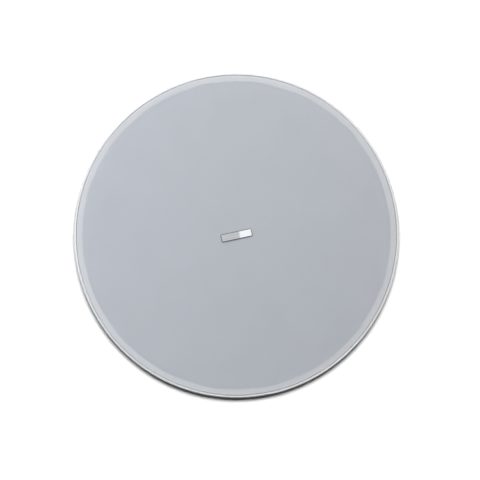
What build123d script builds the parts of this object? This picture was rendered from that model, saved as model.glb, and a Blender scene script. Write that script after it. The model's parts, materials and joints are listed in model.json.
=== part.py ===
from build123d import *
import os
from math import asin, cos, degrees, radians, sin

# Round two-way loudspeaker that clamps into a hole in a ceiling board.
# The origin lies on the speaker's axis, in the plane of the ceiling's visible face.
# +Z points up into the ceiling void, so the grille faces down, towards -Z.
# Sizes are in millimetres and angles in degrees. Radii and heights are chains of
# single sizes, from the pole outwards and from the ceiling plane up and down.

# Voice coil and magnet
pole_radius = 12.5
pole_vent_radius = 5.0
former_clearance = 0.5
former_wall = 0.4
winding_thickness = 0.8
winding_height = 10.0
gap_clearance = 0.6
top_plate_radius = 45.0
top_plate_thickness = 6.0
magnet_radius = 47.5
magnet_bore_radius = 22.0
magnet_thickness = 17.0
back_plate_radius = 43.0
back_plate_thickness = 6.0
plate_chamfer = 1.0

# Cone and its suspension
cone_radius = 80.0
cone_rim_width = 5.0
cone_depth = 30.0
cone_thickness = 0.8
dust_cap_radius = 24.0
dust_cap_rise = 7.0
dust_cap_thickness = 0.6
roll_width = 11.5
surround_land = 5.5
surround_thickness = 0.6
gasket_thickness = 2.5
gasket_inset = 1.0
spider_drop = 4.0
spider_radius = 46.0
spider_land = 8.0
spider_waves = 4
spider_wave_height = 2.2
spider_round = 2.0
spider_thickness = 0.6
glue_gap = 0.3

# Woofer basket
basket_sheet = 1.2
basket_screw_land = 7.5
basket_shoulder_height = 12.0
basket_shoulder_inset = 3.0
motor_drop = 12.0
motor_seat_width = 16.0
motor_wall_inset = 2.0
basket_windows = 6
basket_strut_angle = 15.0
basket_window_margin = 5.0
basket_window_round = 4.0
basket_bend = 2.5
basket_shoulder_round = 6.0
tag_strip_length = 20.0
tag_strip_width = 5.5
tag_strip_thickness = 1.6
tag_pitch = 10.0
tag_width = 3.0
tag_thickness = 0.8
tag_height = 5.0
lead_radius = 0.9
lead_bend = 4.0
lead_drop = 5.0
lead_first_x = 3.0
lead_pitch = 3.0
lead_inset = 3.0
woofer_screws_count = 8

# Frame
well_clearance = 1.0
well_wall = 2.5
well_depth = 12.0
seat_thickness = 3.0
seat_opening_clearance = 1.0
trough_width = 11.0
barrel_wall = 2.5
barrel_height = 24.0
barrel_round = 0.8
flange_reach = 11.7
flange_thickness = 2.0
lip_width = 1.8
lip_proud = 0.3
lip_outer_round = 0.9
lip_inner_round = 0.3
rib_thickness = 2.0
rib_height = 10.0
rib_angles = (15.0, 30.0, 45.0, 60.0)

# Grille
grille_gap = 0.3
grille_sheet = 0.8
grille_rim_height = 4.7
grille_bend = 0.9
scrim_thickness = 0.2
scrim_inset = 2.6
badge_length = 26.2
badge_width = 6.7
badge_thickness = 1.2
badge_corner = 0.9
badge_bevel = 0.6
grille_magnet_count = 8
grille_magnet_radius = 3.0
grille_magnet_thickness = 1.4
magnet_boss_radius = 4.0
magnet_inset = 6.0
magnet_air = 0.1

# Clamps
clamp_count = 4
clamp_start_angle = 45.0
clamp_arm_length = 27.0
clamp_arm_height = 9.0
clamp_side_play = 1.25
clamp_hub_height = 15.0
clamp_foot_length = 9.0
clamp_foot_height = 1.6
clamp_teeth = 3
clamp_tooth_gap = 1.4
clamp_tip_round = 2.0
clamp_gusset = 2.6
hub_play = 0.35
clamp_top_play = 0.3
clamp_screw_radius = 2.0
clamp_screw_head_radius = 4.0
clamp_screw_head_height = 2.8
clamp_screw_tail = 3.0
clamp_drive_width = 1.1
clamp_drive_span = 5.0
clamp_drive_depth = 1.4
head_play = 0.4
running_clearance = 0.08
seat_floor = 2.0
head_recess = 0.4
window_sill = 6.5
window_play = 1.2
stop_play = 0.35
tower_height = 59.0
tower_cap = 3.0
tower_web = 2.5
tower_web_play = 1.0
tower_inset = 0.8
tower_step = 0.4

# Screws of the woofer, the bridge and the board
screw_radius = 1.5
screw_head_radius = 2.9
screw_head_height = 2.0
screw_clearance = 0.3
screw_grip = 0.05
woofer_boss_radius = 3.5
woofer_boss_height = 6.0
bridge_boss_height = 8.0
bridge_boss_radius = 4.5

# Tweeter on its bridge
bridge_width = 12.0
bridge_air = 0.5
bridge_rib = 2.0
pod_radius = 22.0
pod_wall = 2.0
pod_depth = 19.2
tweeter_play = 0.1
tweeter_flange_step = 3.0
face_plate_depth = 4.0
horn_throat = 10.5
horn_mouth = 15.5
horn_flare = 0.5
dome_radius = 9.5
dome_rise = 3.0
dome_thickness = 0.4
dome_land = 3.5
tweeter_flange_thickness = 1.5
tweeter_motor_radius = 15.5
tweeter_motor_depth = 10.0

# Crossover board and terminals, on the +Y side
board_length = 62.0
board_width = 34.0
board_thickness = 1.6
board_height = 20.0
board_edge = 0.8
board_wall_gap = 0.6
post_radius = 4.0
post_spread = 26.5
board_hole_inset = 16.5
block_length = 28.0
block_width = 14.0
block_height = 16.0
block_chamfer = 0.8
lever_pitch = 13.0
lever_width = 8.0
lever_play = 0.3
lever_hub_radius = 2.6
lever_pivot_radius = 1.5
lever_pivot_reach = 1.2
lever_pivot_inset = 10.0
lever_pivot_height = 11.4
lever_reach = 13.0
lever_thickness = 2.4
lever_lip = 1.6
slot_floor_height = 8.0
wire_hole_radius = 1.7
wire_hole_depth = 8.0
wire_hole_height = 4.0
capacitor_radius = 6.5
capacitor_length = 26.0
capacitor_lead = 1.5
capacitor_round = 1.2
inductor_radius = 8.0
inductor_core_radius = 4.0
inductor_height = 12.0
inductor_flange = 1.5
inductor_inset = 0.8
resistor_length = 12.0
resistor_width = 8.0
resistor_height = 8.0
resistor_chamfer = 0.8
resistor_gap = 4.0
lead_wire_radius = 0.45

# Radii that follow, from the pole outwards
former_inner = pole_radius + former_clearance
former_outer = former_inner + former_wall
winding_outer = former_outer + winding_thickness
plate_bore = winding_outer + gap_clearance
roll_outer = cone_radius + roll_width
surround_outer = roll_outer + surround_land
basket_radius = surround_outer + basket_screw_land
woofer_screw_circle = basket_radius - basket_screw_land / 2
well_inner = basket_radius + well_clearance
well_outer = well_inner + well_wall
barrel_inner = well_outer + trough_width
barrel_outer = barrel_inner + barrel_wall
lip_inner = barrel_outer + flange_reach
bezel_radius = lip_inner + lip_width
grille_radius = lip_inner - grille_gap
screw_circle = well_outer + trough_width / 2

# Heights that follow, from the ceiling plane down to the room and up into the void
floor_z = -flange_thickness
grille_front_z = floor_z - grille_rim_height
grille_back_z = grille_front_z + grille_sheet
scrim_back_z = grille_back_z + scrim_thickness
lip_front_z = grille_front_z - lip_proud
seat_z = well_depth
seat_back_z = seat_z + seat_thickness
basket_front_z = seat_z - basket_sheet
surround_front_z = basket_front_z - surround_thickness
cone_neck_z = basket_front_z + cone_depth
spider_back_z = cone_neck_z + spider_drop
ledge_back_z = spider_back_z + basket_sheet
top_plate_z = ledge_back_z + motor_drop
magnet_z = top_plate_z + top_plate_thickness
back_plate_z = magnet_z + magnet_thickness
motor_top_z = back_plate_z + back_plate_thickness
bridge_front_z = scrim_back_z + bridge_air
board_z = seat_back_z + board_height
board_top_z = board_z + board_thickness
clamp_angles = [clamp_start_angle + turn * 360 / clamp_count for turn in range(clamp_count)]
clamp_arm_width = trough_width - 2 * clamp_side_play
clamp_hub_radius = trough_width / 2 - hub_play
clamp_top_z = tower_height - tower_cap - clamp_top_play
clamp_bottom_z = clamp_top_z - clamp_hub_height
clamp_swing = 90 + degrees(asin(clamp_arm_length / (2 * screw_circle)))
head_seat_z = floor_z + head_recess + clamp_screw_head_height
board_outer_y = (barrel_inner ** 2 - (board_length / 2) ** 2) ** 0.5 - board_wall_gap
board_inner_y = board_outer_y - board_width


def polar(radius, angle, z=0.0):
    return (radius * cos(radians(angle)), radius * sin(radians(angle)), z)


def cone_front_z(radius):
    wall = cone_radius - cone_rim_width - former_outer
    return basket_front_z + cone_depth * (cone_radius - cone_rim_width - radius) / wall


def dome_section(radius, rise, thickness, base_z):
    ball = (radius ** 2 + rise ** 2) / (2 * rise)
    centre_z = base_z - rise + ball
    inner_ball = ball - thickness
    inner_radius = (inner_ball ** 2 - (centre_z - base_z) ** 2) ** 0.5
    half = asin(radius / ball) / 2
    inner_half = asin(inner_radius / inner_ball) / 2
    with BuildSketch() as section:
        with BuildLine():
            ThreePointArc(
                (0, centre_z - ball), (ball * sin(half), centre_z - ball * cos(half)), (radius, base_z),
            )
            Line((radius, base_z), (inner_radius, base_z))
            ThreePointArc(
                (inner_radius, base_z),
                (inner_ball * sin(inner_half), centre_z - inner_ball * cos(inner_half)),
                (0, centre_z - inner_ball),
            )
            Line((0, centre_z - inner_ball), (0, centre_z - ball))
        make_face()
    return section.sketch


def save(piece, name):
    piece.label = name
    export_step(piece, f"parts/{name}.step")


os.makedirs("parts", exist_ok=True)

# Clamp tower, drawn for a screw on the X axis: inner wall, side web, outer wall, cap and screw seat
tower_start = -clamp_hub_radius
stop_v = clamp_arm_width / 2 + stop_play
web_v = clamp_hub_radius + tower_web_play
tower_end = web_v + tower_web
tower_inner = well_inner + tower_step
tower_outer = barrel_outer - tower_inset
tower_pieces = (
    (tower_inner, well_outer - tower_step, tower_start, tower_end, seat_z + seat_thickness / 2, tower_height),
    (well_inner + well_wall / 2, tower_outer, web_v, tower_end, floor_z / 2, tower_height),
    (barrel_inner + tower_step, tower_outer, stop_v + tower_step, tower_end, floor_z / 2, tower_height),
    (tower_inner, tower_outer, tower_start, tower_end, tower_height - tower_cap, tower_height),
    (
        well_outer - well_wall / 2, barrel_inner + barrel_wall / 2, tower_start, tower_end,
        floor_z / 2, head_seat_z + seat_floor,
    ),
)
with BuildPart() as tower:
    for inner, outer, v_from, v_to, z_from, z_to in tower_pieces:
        with BuildSketch(Plane.XY.offset(z_from)):
            Circle(outer)
            Circle(inner, mode=Mode.SUBTRACT)
            with Locations((0, v_from)):
                Rectangle(outer, v_to - v_from, align=(Align.MIN, Align.MIN), mode=Mode.INTERSECT)
        extrude(amount=z_to - z_from)

# What each clamp cuts away: its swing window in the barrel, the screw's hole and head recess
with BuildPart() as clamp_cut:
    with Locations((screw_circle, stop_v, window_sill)):
        Box(
            barrel_outer - screw_circle + barrel_wall, clamp_arm_length + window_play + stop_v,
            barrel_height, align=(Align.MIN, Align.MAX, Align.MIN),
        )
    with Locations((screw_circle, 0, floor_z)):
        Cylinder(
            clamp_screw_radius + running_clearance, tower_height - floor_z,
            align=(Align.CENTER, Align.CENTER, Align.MIN),
        )
        Cylinder(
            clamp_screw_head_radius + head_play, head_seat_z - floor_z,
            align=(Align.CENTER, Align.CENTER, Align.MIN),
        )

# Frame: one moulding with bezel lip, flange, barrel, woofer well and seat, towers and posts
post_y = board_outer_y - board_hole_inset
with BuildPart() as frame:
    with BuildSketch(Plane.XZ) as frame_section:
        with BuildLine():
            Polyline(
                (well_inner, floor_z), (lip_inner, floor_z), (lip_inner, lip_front_z),
                (bezel_radius, lip_front_z), (bezel_radius, 0), (barrel_outer, 0),
                (barrel_outer, barrel_height), (barrel_inner, barrel_height), (barrel_inner, 0),
                (well_outer, 0), (well_outer, seat_back_z),
                (roll_outer + seat_opening_clearance, seat_back_z),
                (roll_outer + seat_opening_clearance, seat_z), (well_inner, seat_z),
                close=True,
            )
        make_face()
        fillet(frame_section.vertices().sort_by_distance((lip_inner, lip_front_z))[0], lip_inner_round)
        fillet(frame_section.vertices().sort_by_distance((bezel_radius, lip_front_z))[0], lip_outer_round)
        for barrel_edge in ((barrel_outer, barrel_height), (barrel_inner, barrel_height)):
            fillet(frame_section.vertices().sort_by_distance(barrel_edge)[0], barrel_round)
    revolve(axis=Axis.Z)
    with PolarLocations(0, clamp_count, clamp_start_angle):
        add(tower.part)
    with Locations((0, 0, floor_z / 2)):
        for rib_angle in rib_angles:
            with PolarLocations(screw_circle, clamp_count, clamp_start_angle + rib_angle):
                Box(
                    trough_width + barrel_wall, rib_thickness, rib_height - floor_z / 2,
                    align=(Align.CENTER, Align.CENTER, Align.MIN),
                )
    with Locations((0, 0, seat_z)):
        with PolarLocations(woofer_screw_circle, woofer_screws_count, 180 / woofer_screws_count):
            Cylinder(
                woofer_boss_radius, seat_thickness + woofer_boss_height,
                align=(Align.CENTER, Align.CENTER, Align.MIN),
            )
    with Locations((0, 0, floor_z / 2)):
        with PolarLocations(screw_circle, 2):
            Cylinder(
                bridge_boss_radius, bridge_boss_height - floor_z / 2,
                align=(Align.CENTER, Align.CENTER, Align.MIN),
            )
    with Locations((0, 0, scrim_back_z + magnet_air + grille_magnet_thickness)):
        with PolarLocations(lip_inner - magnet_inset, grille_magnet_count, 180 / grille_magnet_count):
            Cylinder(
                magnet_boss_radius,
                floor_z / 2 - scrim_back_z - magnet_air - grille_magnet_thickness,
                align=(Align.CENTER, Align.CENTER, Align.MIN),
            )
    with Locations((-post_spread, post_y, seat_z), (post_spread, post_y, seat_z)):
        Cylinder(post_radius, board_z - seat_z, align=(Align.CENTER, Align.CENTER, Align.MIN))
    with PolarLocations(0, clamp_count, clamp_start_angle):
        add(clamp_cut.part, mode=Mode.SUBTRACT)
    with Locations((0, 0, seat_z)):
        with PolarLocations(woofer_screw_circle, woofer_screws_count, 180 / woofer_screws_count):
            Cylinder(
                screw_radius + screw_grip, seat_thickness + woofer_boss_height - seat_floor,
                align=(Align.CENTER, Align.CENTER, Align.MIN), mode=Mode.SUBTRACT,
            )
    with Locations((0, 0, floor_z)):
        with PolarLocations(screw_circle, 2):
            Cylinder(
                screw_radius + screw_grip, flange_thickness + bridge_boss_height - seat_floor,
                align=(Align.CENTER, Align.CENTER, Align.MIN), mode=Mode.SUBTRACT,
            )
    with Locations((-post_spread, post_y, board_z), (post_spread, post_y, board_z)):
        Cylinder(
            screw_radius + screw_grip, board_height / 2,
            align=(Align.CENTER, Align.CENTER, Align.MAX), mode=Mode.SUBTRACT,
        )
save(frame.part, "frame")

# Grille: flat steel sheet with its rim turned back; the fine perforation is left to the visual model
with BuildPart() as grille:
    with BuildSketch(Plane.XZ) as grille_section:
        with BuildLine():
            Polyline(
                (0, grille_front_z), (grille_radius, grille_front_z), (grille_radius, floor_z),
                (grille_radius - grille_sheet, floor_z), (grille_radius - grille_sheet, grille_back_z),
                (0, grille_back_z),
                close=True,
            )
        make_face()
        bend_outside = (grille_radius, grille_front_z)
        bend_inside = (grille_radius - grille_sheet, grille_back_z)
        fillet(grille_section.vertices().sort_by_distance(bend_outside)[0], grille_bend)
        fillet(grille_section.vertices().sort_by_distance(bend_inside)[0], grille_bend - grille_sheet)
    revolve(axis=Axis.Z)
save(grille.part, "grille")

with BuildPart() as grille_scrim:
    with Locations((0, 0, grille_back_z)):
        Cylinder(
            grille_radius - grille_sheet - scrim_inset, scrim_thickness,
            align=(Align.CENTER, Align.CENTER, Align.MIN),
        )
save(grille_scrim.part, "grille_scrim")

# Badge: bare plate with a bevel all round its face
with BuildPart() as grille_badge:
    with BuildSketch(Plane.XY.offset(grille_front_z)):
        RectangleRounded(badge_length, badge_width, badge_corner)
    extrude(amount=-badge_thickness)
    chamfer(grille_badge.edges().group_by(Axis.Z)[0], badge_bevel)
save(grille_badge.part, "grille_badge")

with BuildPart() as grille_magnets:
    with Locations((0, 0, scrim_back_z + magnet_air)):
        with PolarLocations(lip_inner - magnet_inset, grille_magnet_count, 180 / grille_magnet_count):
            Cylinder(
                grille_magnet_radius, grille_magnet_thickness,
                align=(Align.CENTER, Align.CENTER, Align.MIN),
            )
save(grille_magnets.part, "grille_magnets")

# Woofer basket: pressed sheet with windows between its struts
basket_wall = roll_outer + seat_opening_clearance / 2
ledge_outer = spider_radius + spider_land + basket_sheet
motor_wall = spider_radius - motor_wall_inset
window_angle = 360 / basket_windows - basket_strut_angle
window_outer = basket_wall - basket_shoulder_inset - basket_window_margin
with BuildSketch() as window_plan:
    with BuildLine():
        far = CenterArc((0, 0), window_outer, -window_angle / 2, window_angle)
        near = CenterArc((0, 0), ledge_outer + basket_window_margin, -window_angle / 2, window_angle)
        Line(far @ 0, near @ 0)
        Line(far @ 1, near @ 1)
    make_face()
    fillet(window_plan.vertices(), basket_window_round)
with BuildPart() as woofer_basket:
    with BuildSketch(Plane.XZ):
        with BuildLine():
            FilletPolyline(
                (basket_radius, seat_z), (basket_wall, seat_z),
                (basket_wall - basket_shoulder_inset, seat_z + basket_shoulder_height),
                (ledge_outer, ledge_back_z), (spider_radius, ledge_back_z),
                (motor_wall, top_plate_z), (motor_wall - motor_seat_width, top_plate_z),
                radius=(0, basket_shoulder_round, basket_bend, basket_bend - basket_sheet, basket_bend),
            )
            offset(amount=basket_sheet, side=Side.LEFT, kind=Kind.INTERSECTION)
        make_face()
    revolve(axis=Axis.Z)
    with BuildSketch(Plane.XY.offset(seat_z + basket_shoulder_height)):
        with PolarLocations(0, basket_windows):
            add(window_plan.sketch)
    extrude(amount=ledge_back_z - seat_z - basket_shoulder_height, mode=Mode.SUBTRACT)
    with Locations((0, 0, seat_z)):
        with PolarLocations(woofer_screw_circle, woofer_screws_count, 180 / woofer_screws_count):
            Cylinder(screw_radius + screw_clearance, 3 * basket_sheet, mode=Mode.SUBTRACT)
save(woofer_basket.part, "woofer_basket")

with BuildPart() as woofer_gasket:
    with BuildSketch(Plane.XY.offset(surround_front_z)):
        Circle(surround_outer)
        Circle(roll_outer + gasket_inset, mode=Mode.SUBTRACT)
    extrude(amount=-gasket_thickness)
save(woofer_gasket.part, "woofer_gasket")

# Surround: half roll towards the room between two flat lands
roll_mid = cone_radius + roll_width / 2
roll_foot = ((roll_width / 2) ** 2 - surround_thickness ** 2) ** 0.5
roll_inside = roll_width / 2 - surround_thickness
with BuildPart() as surround:
    with BuildSketch(Plane.XZ):
        with BuildLine():
            ThreePointArc(
                (roll_mid + roll_foot, surround_front_z), (roll_mid, basket_front_z - roll_width / 2),
                (roll_mid - roll_foot, surround_front_z),
            )
            Polyline(
                (roll_mid - roll_foot, surround_front_z),
                (cone_radius - cone_rim_width, surround_front_z),
                (cone_radius - cone_rim_width, basket_front_z), (roll_mid - roll_inside, basket_front_z),
            )
            ThreePointArc(
                (roll_mid - roll_inside, basket_front_z), (roll_mid, basket_front_z - roll_inside),
                (roll_mid + roll_inside, basket_front_z),
            )
            Polyline(
                (roll_mid + roll_inside, basket_front_z), (surround_outer, basket_front_z),
                (surround_outer, surround_front_z), (roll_mid + roll_foot, surround_front_z),
            )
        make_face()
    revolve(axis=Axis.Z)
save(surround.part, "surround")

with BuildPart() as cone:
    with BuildSketch(Plane.XZ):
        with BuildLine():
            Polyline(
                (cone_radius, basket_front_z), (cone_radius - cone_rim_width, basket_front_z),
                (former_outer, cone_neck_z), (former_outer, cone_neck_z + cone_thickness),
                (cone_radius - cone_rim_width, basket_front_z + cone_thickness),
                (cone_radius, basket_front_z + cone_thickness),
                close=True,
            )
        make_face()
    revolve(axis=Axis.Z)
save(cone.part, "cone")

cap_z = cone_front_z(dust_cap_radius)
cap_section = dome_section(dust_cap_radius, dust_cap_rise, dust_cap_thickness, cap_z)
with BuildPart() as dust_cap:
    with BuildSketch(Plane.XZ):
        add(cap_section)
    revolve(axis=Axis.Z)
save(dust_cap.part, "dust_cap")

coil_z = top_plate_z + (top_plate_thickness - winding_height) / 2
with BuildPart() as coil_former:
    with BuildSketch(Plane.XY.offset(cone_neck_z)):
        Circle(former_outer)
        Circle(former_inner, mode=Mode.SUBTRACT)
    extrude(amount=coil_z + winding_height - cone_neck_z)
save(coil_former.part, "coil_former")

with BuildPart() as coil_winding:
    with BuildSketch(Plane.XY.offset(coil_z)):
        Circle(winding_outer)
        Circle(former_outer, mode=Mode.SUBTRACT)
    extrude(amount=winding_height)
save(coil_winding.part, "coil_winding")

# Spider: pleated disc that centres the coil, its land on the basket's ledge
spider_inner = former_outer + glue_gap
wave_step = (spider_radius - spider_inner) / (2 * spider_waves)
spider_front = [(spider_inner, spider_back_z - spider_thickness)]
for fold in range(1, 2 * spider_waves):
    fold_z = spider_back_z - spider_thickness + spider_wave_height / 2 * (-1) ** fold
    spider_front.append((spider_inner + fold * wave_step, fold_z))
spider_front.append((spider_radius, spider_back_z - spider_thickness))
spider_front.append((spider_radius + spider_land, spider_back_z - spider_thickness))
with BuildPart() as spider:
    with BuildSketch(Plane.XZ):
        with BuildLine():
            FilletPolyline(*spider_front, radius=spider_round)
            offset(amount=spider_thickness, side=Side.LEFT, kind=Kind.INTERSECTION)
        make_face()
    revolve(axis=Axis.Z)
save(spider.part, "spider")

with BuildPart() as top_plate:
    with BuildSketch(Plane.XY.offset(top_plate_z)):
        Circle(top_plate_radius)
        Circle(plate_bore, mode=Mode.SUBTRACT)
    extrude(amount=top_plate_thickness)
    plate_edges = top_plate.edges().filter_by(GeomType.CIRCLE).sort_by(SortBy.RADIUS)[-2:]
    chamfer(plate_edges, plate_chamfer)
save(top_plate.part, "top_plate")

with BuildPart() as ring_magnet:
    with BuildSketch(Plane.XY.offset(magnet_z)):
        Circle(magnet_radius)
        Circle(magnet_bore_radius, mode=Mode.SUBTRACT)
    extrude(amount=magnet_thickness)
    rim_edges = ring_magnet.edges().filter_by(GeomType.CIRCLE).sort_by(SortBy.RADIUS)[-2:]
    chamfer(rim_edges, plate_chamfer)
save(ring_magnet.part, "ring_magnet")

# Pole yoke: back plate and vented pole in one turned piece
with BuildPart() as pole_yoke:
    with BuildSketch(Plane.XZ):
        with BuildLine():
            Polyline(
                (pole_vent_radius, top_plate_z), (pole_radius, top_plate_z), (pole_radius, back_plate_z),
                (back_plate_radius, back_plate_z), (back_plate_radius, motor_top_z - plate_chamfer),
                (back_plate_radius - plate_chamfer, motor_top_z), (pole_vent_radius, motor_top_z),
                close=True,
            )
        make_face()
    revolve(axis=Axis.Z)
save(pole_yoke.part, "pole_yoke")

# Tag strip on the basket's ledge, with two solder tags
tag_y = spider_radius + spider_land / 2
with BuildPart() as tag_strip:
    with Locations((0, tag_y, ledge_back_z)):
        Box(
            tag_strip_length, tag_strip_width, tag_strip_thickness,
            align=(Align.CENTER, Align.CENTER, Align.MIN),
        )
save(tag_strip.part, "tag_strip")

tag_top_z = ledge_back_z + tag_strip_thickness + tag_height
with BuildPart() as solder_tags:
    for side in (-1, 1):
        with Locations((side * tag_pitch / 2, tag_y, tag_top_z)):
            Box(tag_width, tag_thickness, tag_height, align=(Align.CENTER, Align.CENTER, Align.MAX))
save(solder_tags.part, "solder_tags")

with BuildPart() as woofer_screws:
    with Locations((0, 0, basket_front_z)):
        with PolarLocations(woofer_screw_circle, woofer_screws_count, 180 / woofer_screws_count):
            Cylinder(screw_head_radius, screw_head_height, align=(Align.CENTER, Align.CENTER, Align.MAX))
            Cylinder(screw_radius, woofer_boss_height, align=(Align.CENTER, Align.CENTER, Align.MIN))
save(woofer_screws.part, "woofer_screws")

# Tweeter bridge: flat bar across the well with a pod in the middle
pod_inner = pod_radius - pod_wall
pod_back_z = bridge_front_z + pod_depth
face_plate_z = bridge_front_z + face_plate_depth
tweeter_seat_z = face_plate_z + dome_thickness + tweeter_flange_thickness
bar_thickness = floor_z - bridge_front_z
with BuildPart() as tweeter_bridge:
    with BuildSketch(Plane.XY.offset(bridge_front_z)):
        SlotCenterToCenter(2 * screw_circle, bridge_width)
    extrude(amount=bar_thickness)
    with Locations((0, 0, floor_z)):
        Box(
            2 * (well_inner - bridge_rib), bridge_width, bridge_rib,
            align=(Align.CENTER, Align.CENTER, Align.MIN),
        )
    with Locations((0, 0, bridge_front_z)):
        Cylinder(pod_radius, pod_depth, align=(Align.CENTER, Align.CENTER, Align.MIN))
        Cylinder(
            pod_inner, tweeter_seat_z - bridge_front_z,
            align=(Align.CENTER, Align.CENTER, Align.MIN), mode=Mode.SUBTRACT,
        )
        Cylinder(
            pod_inner - tweeter_flange_step, pod_depth - pod_wall,
            align=(Align.CENTER, Align.CENTER, Align.MIN), mode=Mode.SUBTRACT,
        )
        with PolarLocations(screw_circle, 2):
            Cylinder(
                screw_radius + screw_clearance, bar_thickness,
                align=(Align.CENTER, Align.CENTER, Align.MIN), mode=Mode.SUBTRACT,
            )
            Cylinder(
                screw_head_radius + screw_clearance, screw_head_height,
                align=(Align.CENTER, Align.CENTER, Align.MIN), mode=Mode.SUBTRACT,
            )
save(tweeter_bridge.part, "tweeter_bridge")

with BuildPart() as bridge_screws:
    with Locations((0, 0, bridge_front_z)):
        with PolarLocations(screw_circle, 2):
            Cylinder(screw_head_radius, screw_head_height, align=(Align.CENTER, Align.CENTER, Align.MIN))
            Cylinder(
                screw_radius, bar_thickness + bridge_boss_height - seat_floor,
                align=(Align.CENTER, Align.CENTER, Align.MIN),
            )
save(bridge_screws.part, "bridge_screws")

horn_mid = (
    (horn_throat + horn_mouth) / 2 - horn_flare, (face_plate_z + bridge_front_z) / 2 - horn_flare,
)
with BuildPart() as tweeter_face_plate:
    with BuildSketch(Plane.XZ):
        with BuildLine():
            ThreePointArc((horn_throat, face_plate_z), horn_mid, (horn_mouth, bridge_front_z))
            Polyline(
                (horn_mouth, bridge_front_z), (pod_inner - tweeter_play, bridge_front_z),
                (pod_inner - tweeter_play, face_plate_z), (horn_throat, face_plate_z),
            )
        make_face()
    revolve(axis=Axis.Z)
save(tweeter_face_plate.part, "tweeter_face_plate")

tweeter_dome_section = dome_section(dome_radius, dome_rise, dome_thickness, face_plate_z + dome_thickness)
with BuildPart() as tweeter_dome:
    with BuildSketch(Plane.XZ):
        add(tweeter_dome_section)
        with Locations((dome_radius - dome_thickness, face_plate_z)):
            Rectangle(dome_land + dome_thickness, dome_thickness, align=(Align.MIN, Align.MIN))
    revolve(axis=Axis.Z)
save(tweeter_dome.part, "tweeter_dome")

with BuildPart() as tweeter_motor:
    with Locations((0, 0, face_plate_z + dome_thickness)):
        Cylinder(
            pod_inner - tweeter_play, tweeter_flange_thickness,
            align=(Align.CENTER, Align.CENTER, Align.MIN),
        )
        Cylinder(tweeter_motor_radius, tweeter_motor_depth, align=(Align.CENTER, Align.CENTER, Align.MIN))
save(tweeter_motor.part, "tweeter_motor")

# Crossover board on its two posts, with the parts that it carries
board_mid_y = board_outer_y - board_width / 2
with BuildPart() as crossover_board:
    with Locations((0, board_mid_y, board_z)):
        Box(board_length, board_width, board_thickness, align=(Align.CENTER, Align.CENTER, Align.MIN))
    with Locations((-post_spread, post_y, board_z), (post_spread, post_y, board_z)):
        Cylinder(screw_radius + screw_clearance, 3 * board_thickness, mode=Mode.SUBTRACT)
save(crossover_board.part, "crossover_board")

with BuildPart() as board_screws:
    with Locations((-post_spread, post_y, board_top_z), (post_spread, post_y, board_top_z)):
        Cylinder(screw_head_radius, screw_head_height, align=(Align.CENTER, Align.CENTER, Align.MIN))
        Cylinder(
            screw_radius, board_thickness + board_height / 2 - seat_floor,
            align=(Align.CENTER, Align.CENTER, Align.MAX),
        )
save(board_screws.part, "board_screws")

capacitor_x = -capacitor_length / 2 - capacitor_lead
capacitor_y = board_inner_y + capacitor_radius + board_edge
capacitor_z = board_top_z + capacitor_radius
with BuildPart() as capacitor:
    with Locations((capacitor_x, capacitor_y, capacitor_z)):
        Cylinder(capacitor_radius, capacitor_length, rotation=(0, 90, 0))
    fillet(capacitor.edges().filter_by(GeomType.CIRCLE), capacitor_round)
    for end in (-1, 1):
        leg_x = capacitor_x + end * (capacitor_length / 2 + capacitor_lead)
        with BuildLine() as leg:
            FilletPolyline(
                (capacitor_x + end * capacitor_length / 2, capacitor_y, capacitor_z),
                (leg_x, capacitor_y, capacitor_z), (leg_x, capacitor_y, board_top_z),
                radius=capacitor_lead / 2,
            )
        with BuildSketch(Plane(origin=leg.line @ 0, z_dir=leg.line % 0)):
            Circle(lead_wire_radius)
        sweep(path=leg.line)
save(capacitor.part, "capacitor")

inductor_x = board_length / 4
inductor_y = board_inner_y + inductor_radius + board_edge
with BuildPart() as inductor_bobbin:
    with Locations((inductor_x, inductor_y, board_top_z)):
        Cylinder(inductor_core_radius, inductor_height, align=(Align.CENTER, Align.CENTER, Align.MIN))
        Cylinder(inductor_radius, inductor_flange, align=(Align.CENTER, Align.CENTER, Align.MIN))
    with Locations((inductor_x, inductor_y, board_top_z + inductor_height)):
        Cylinder(inductor_radius, inductor_flange, align=(Align.CENTER, Align.CENTER, Align.MAX))
save(inductor_bobbin.part, "inductor_bobbin")

with BuildPart() as inductor_winding:
    with BuildSketch(Plane.XY.offset(board_top_z + inductor_flange)):
        with Locations((inductor_x, inductor_y)):
            Circle(inductor_radius - inductor_inset)
            Circle(inductor_core_radius, mode=Mode.SUBTRACT)
    extrude(amount=inductor_height - 2 * inductor_flange)
save(inductor_winding.part, "inductor_winding")

with BuildPart() as resistor:
    with Locations((-block_length / 2 - resistor_gap, board_outer_y - board_edge, board_top_z)):
        Box(resistor_width, resistor_length, resistor_height, align=(Align.MAX, Align.MAX, Align.MIN))
    chamfer(resistor.edges().filter_by(Axis.Y).group_by(Axis.Z)[-1], resistor_chamfer)
save(resistor.part, "resistor")

# Leads from the board up and over to the solder tags
lead_top_z = tag_top_z + lead_drop
lead_ends = {
    "red": (lead_first_x, -tag_pitch / 2),
    "black": (lead_first_x + lead_pitch, tag_pitch / 2),
}
for colour, (board_x, tag_x) in lead_ends.items():
    with BuildPart() as lead:
        with BuildLine() as route:
            FilletPolyline(
                (board_x, board_inner_y + lead_inset, board_top_z),
                (board_x, board_inner_y + lead_inset, lead_top_z),
                (tag_x, tag_y, lead_top_z), (tag_x, tag_y, tag_top_z),
                radius=lead_bend,
            )
        with BuildSketch(Plane(origin=route.line @ 0, z_dir=route.line % 0)):
            Circle(lead_radius)
        sweep(path=route.line)
    save(lead.part, f"woofer_lead_{colour}")

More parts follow.
